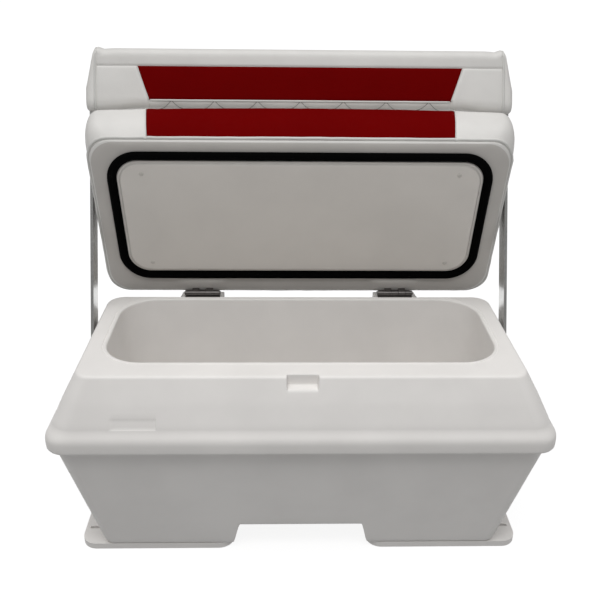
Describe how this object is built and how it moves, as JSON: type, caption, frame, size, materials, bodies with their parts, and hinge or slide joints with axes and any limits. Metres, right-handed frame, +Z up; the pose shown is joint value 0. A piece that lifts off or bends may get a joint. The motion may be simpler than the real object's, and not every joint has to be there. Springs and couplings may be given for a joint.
{
  "type": "swing-back cooler seat",
  "caption": "Insulated box seat on two foot plates, with a rear-hinged padded lid, shown open, and a padded backrest on pivoting side arms that swings over to face either way.",
  "frame": {"origin": "on the floor, at the middle of the four foot slots", "axes": "+Z up, -Y the front where a person opens the lid, +X to the right seen from the front"},
  "size_m": [0.9158, 0.5777, 0.895],
  "materials": {
    "white_shell": "satin",
    "insulation_foam": "matte",
    "liner_plastic": "satin",
    "stainless": "satin",
    "polished_arm": "polished",
    "white_nylon": "satin",
    "black_rubber": "matte",
    "plywood": "matte",
    "white_vinyl": "satin",
    "red_vinyl": "satin"
  },
  "bodies": {
    "tub": {"tub_shell": "white_shell", "foam_core": "insulation_foam", "left_foot_plate": "white_shell", "right_foot_plate": "white_shell", "foot_plate_screws": "stainless", "left_hinge_tub_leaf": "stainless", "right_hinge_tub_leaf": "stainless", "left_hinge_pin": "stainless", "right_hinge_pin": "stainless", "hinge_tub_screws": "stainless", "left_pivot_bushing": "white_nylon", "right_pivot_bushing": "white_nylon", "left_pivot_bolt": "stainless", "right_pivot_bolt": "stainless", "arm_stops": "black_rubber", "drain_fitting": "white_nylon", "drain_washer": "black_rubber"},
    "lid": {"lid_board": "plywood", "lid_liner": "liner_plastic", "lid_gasket": "black_rubber", "left_hinge_lid_leaf": "stainless", "right_hinge_lid_leaf": "stainless", "hinge_lid_screws": "stainless", "liner_screws": "white_nylon", "seat_cushion": "white_vinyl"},
    "backrest": {"back_frame": "plywood", "back_cushion": "white_vinyl", "left_arm": "polished_arm", "right_arm": "polished_arm", "arm_bolts": "stainless"},
    "drain_plug": {"drain_plug": "white_nylon", "drain_plug_seal": "black_rubber"}
  },
  "joints": [
    {"name": "lid_hinge", "type": "hinge", "parent": "tub", "child": "lid", "pos_m": [0, 0.197, 0.399], "axis": [1, 0, 0], "range_deg": [0, 76]},
    {"name": "backrest_swing", "type": "hinge", "parent": "tub", "child": "backrest", "pos_m": [0, 0, 0.149], "axis": [1, 0, 0], "range_deg": [0, 48]},
    {"name": "drain_plug_out", "type": "slide", "parent": "tub", "child": "drain_plug", "axis": [0, 1, 0], "range_m": [0, 0.045]}
  ]
}
